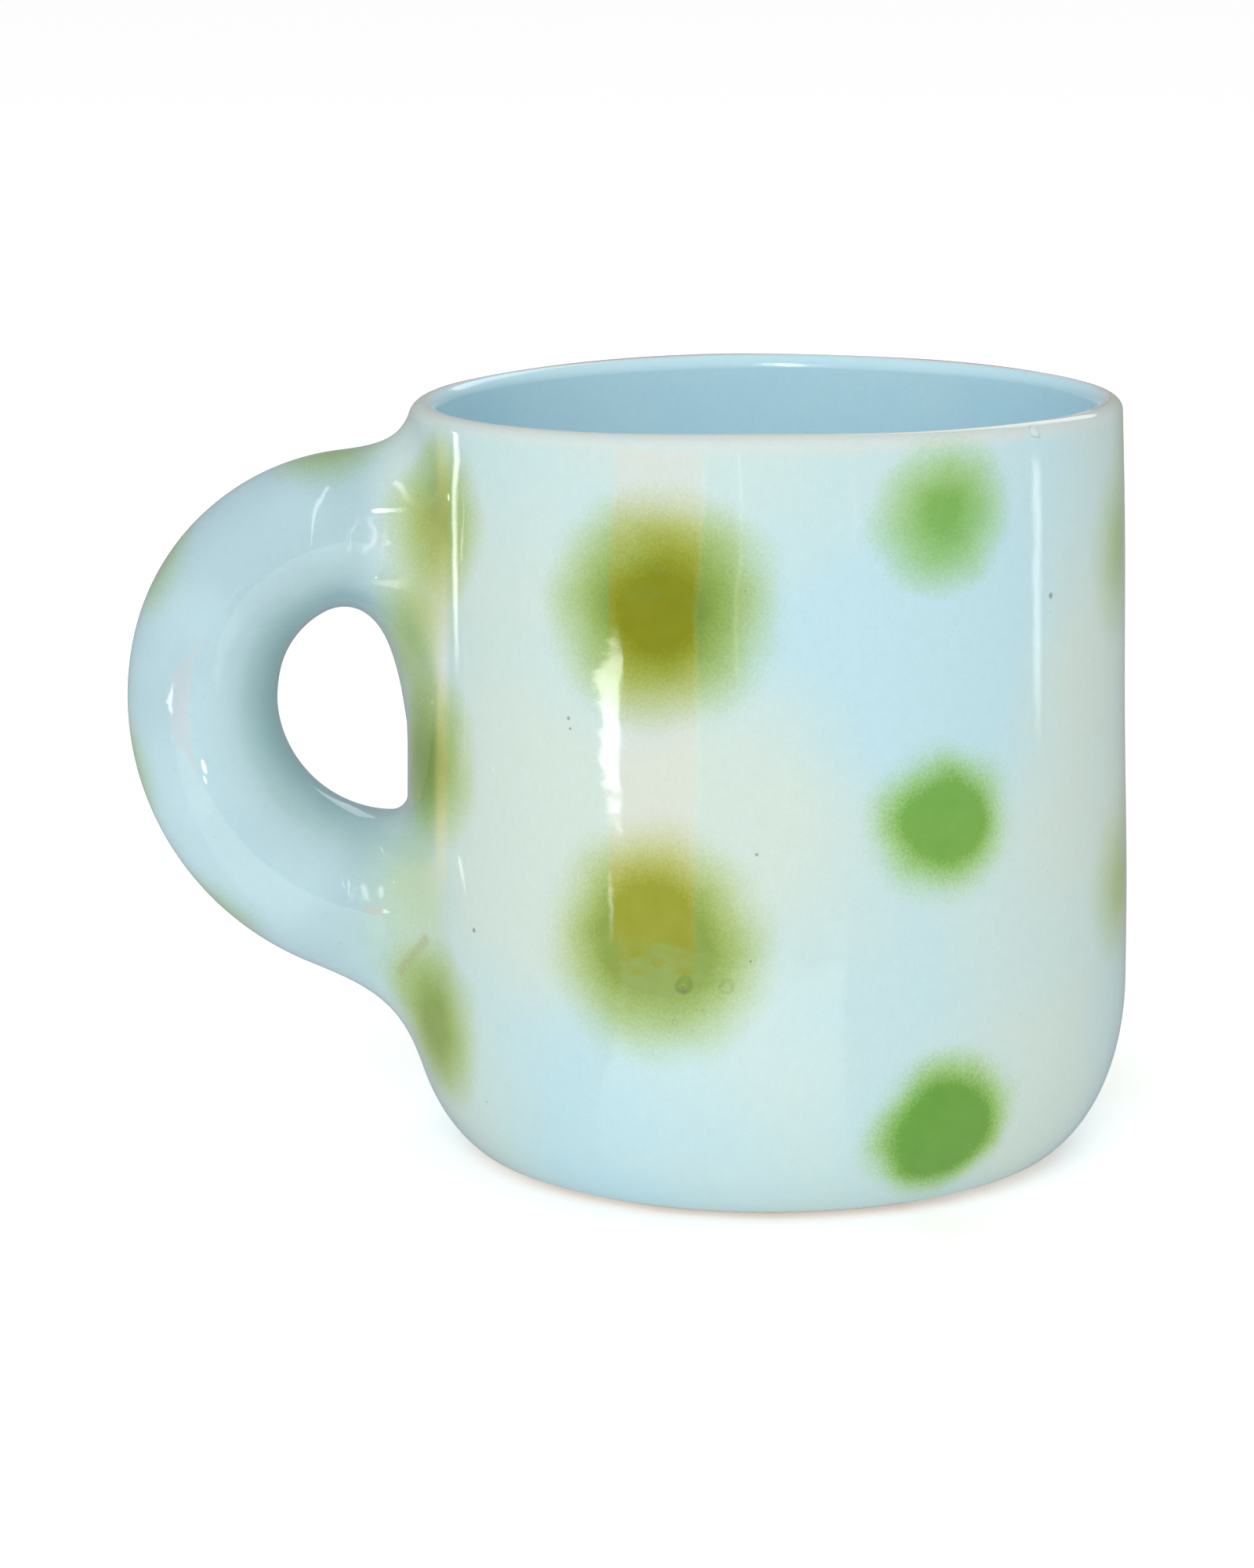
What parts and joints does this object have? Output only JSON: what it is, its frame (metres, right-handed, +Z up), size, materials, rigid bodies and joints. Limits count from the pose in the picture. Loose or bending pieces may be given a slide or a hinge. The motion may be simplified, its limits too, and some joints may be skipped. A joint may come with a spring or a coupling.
{
  "type": "stoneware mug",
  "caption": "Hand-thrown glazed stoneware mug with a fat ring handle, painted spots and a pale blue inside, for hot drinks.",
  "frame": {"origin": "centre of the foot ring's flat, on the mug's axis, in the plane it stands on", "axes": "+Z up along the mug's axis, -X towards the handle, +Y completes a right-handed frame"},
  "size_m": [0.1238, 0.09, 0.094],
  "materials": {
    "bare_stoneware": "matt, unglazed, fired",
    "fired_slip": "matt, fired",
    "spotted_glaze": "glossy pale blue-white with soft green spots",
    "blue_glaze": "glossy pale blue"
  },
  "bodies": {
    "root": {"clay_body": "bare_stoneware", "handle": "bare_stoneware", "upper_slip_seam": "fired_slip", "lower_slip_seam": "fired_slip", "upper_collar": "bare_stoneware", "lower_collar": "bare_stoneware", "outer_glaze": "spotted_glaze", "handle_glaze": "spotted_glaze", "liner_glaze": "blue_glaze"}
  },
  "joints": []
}
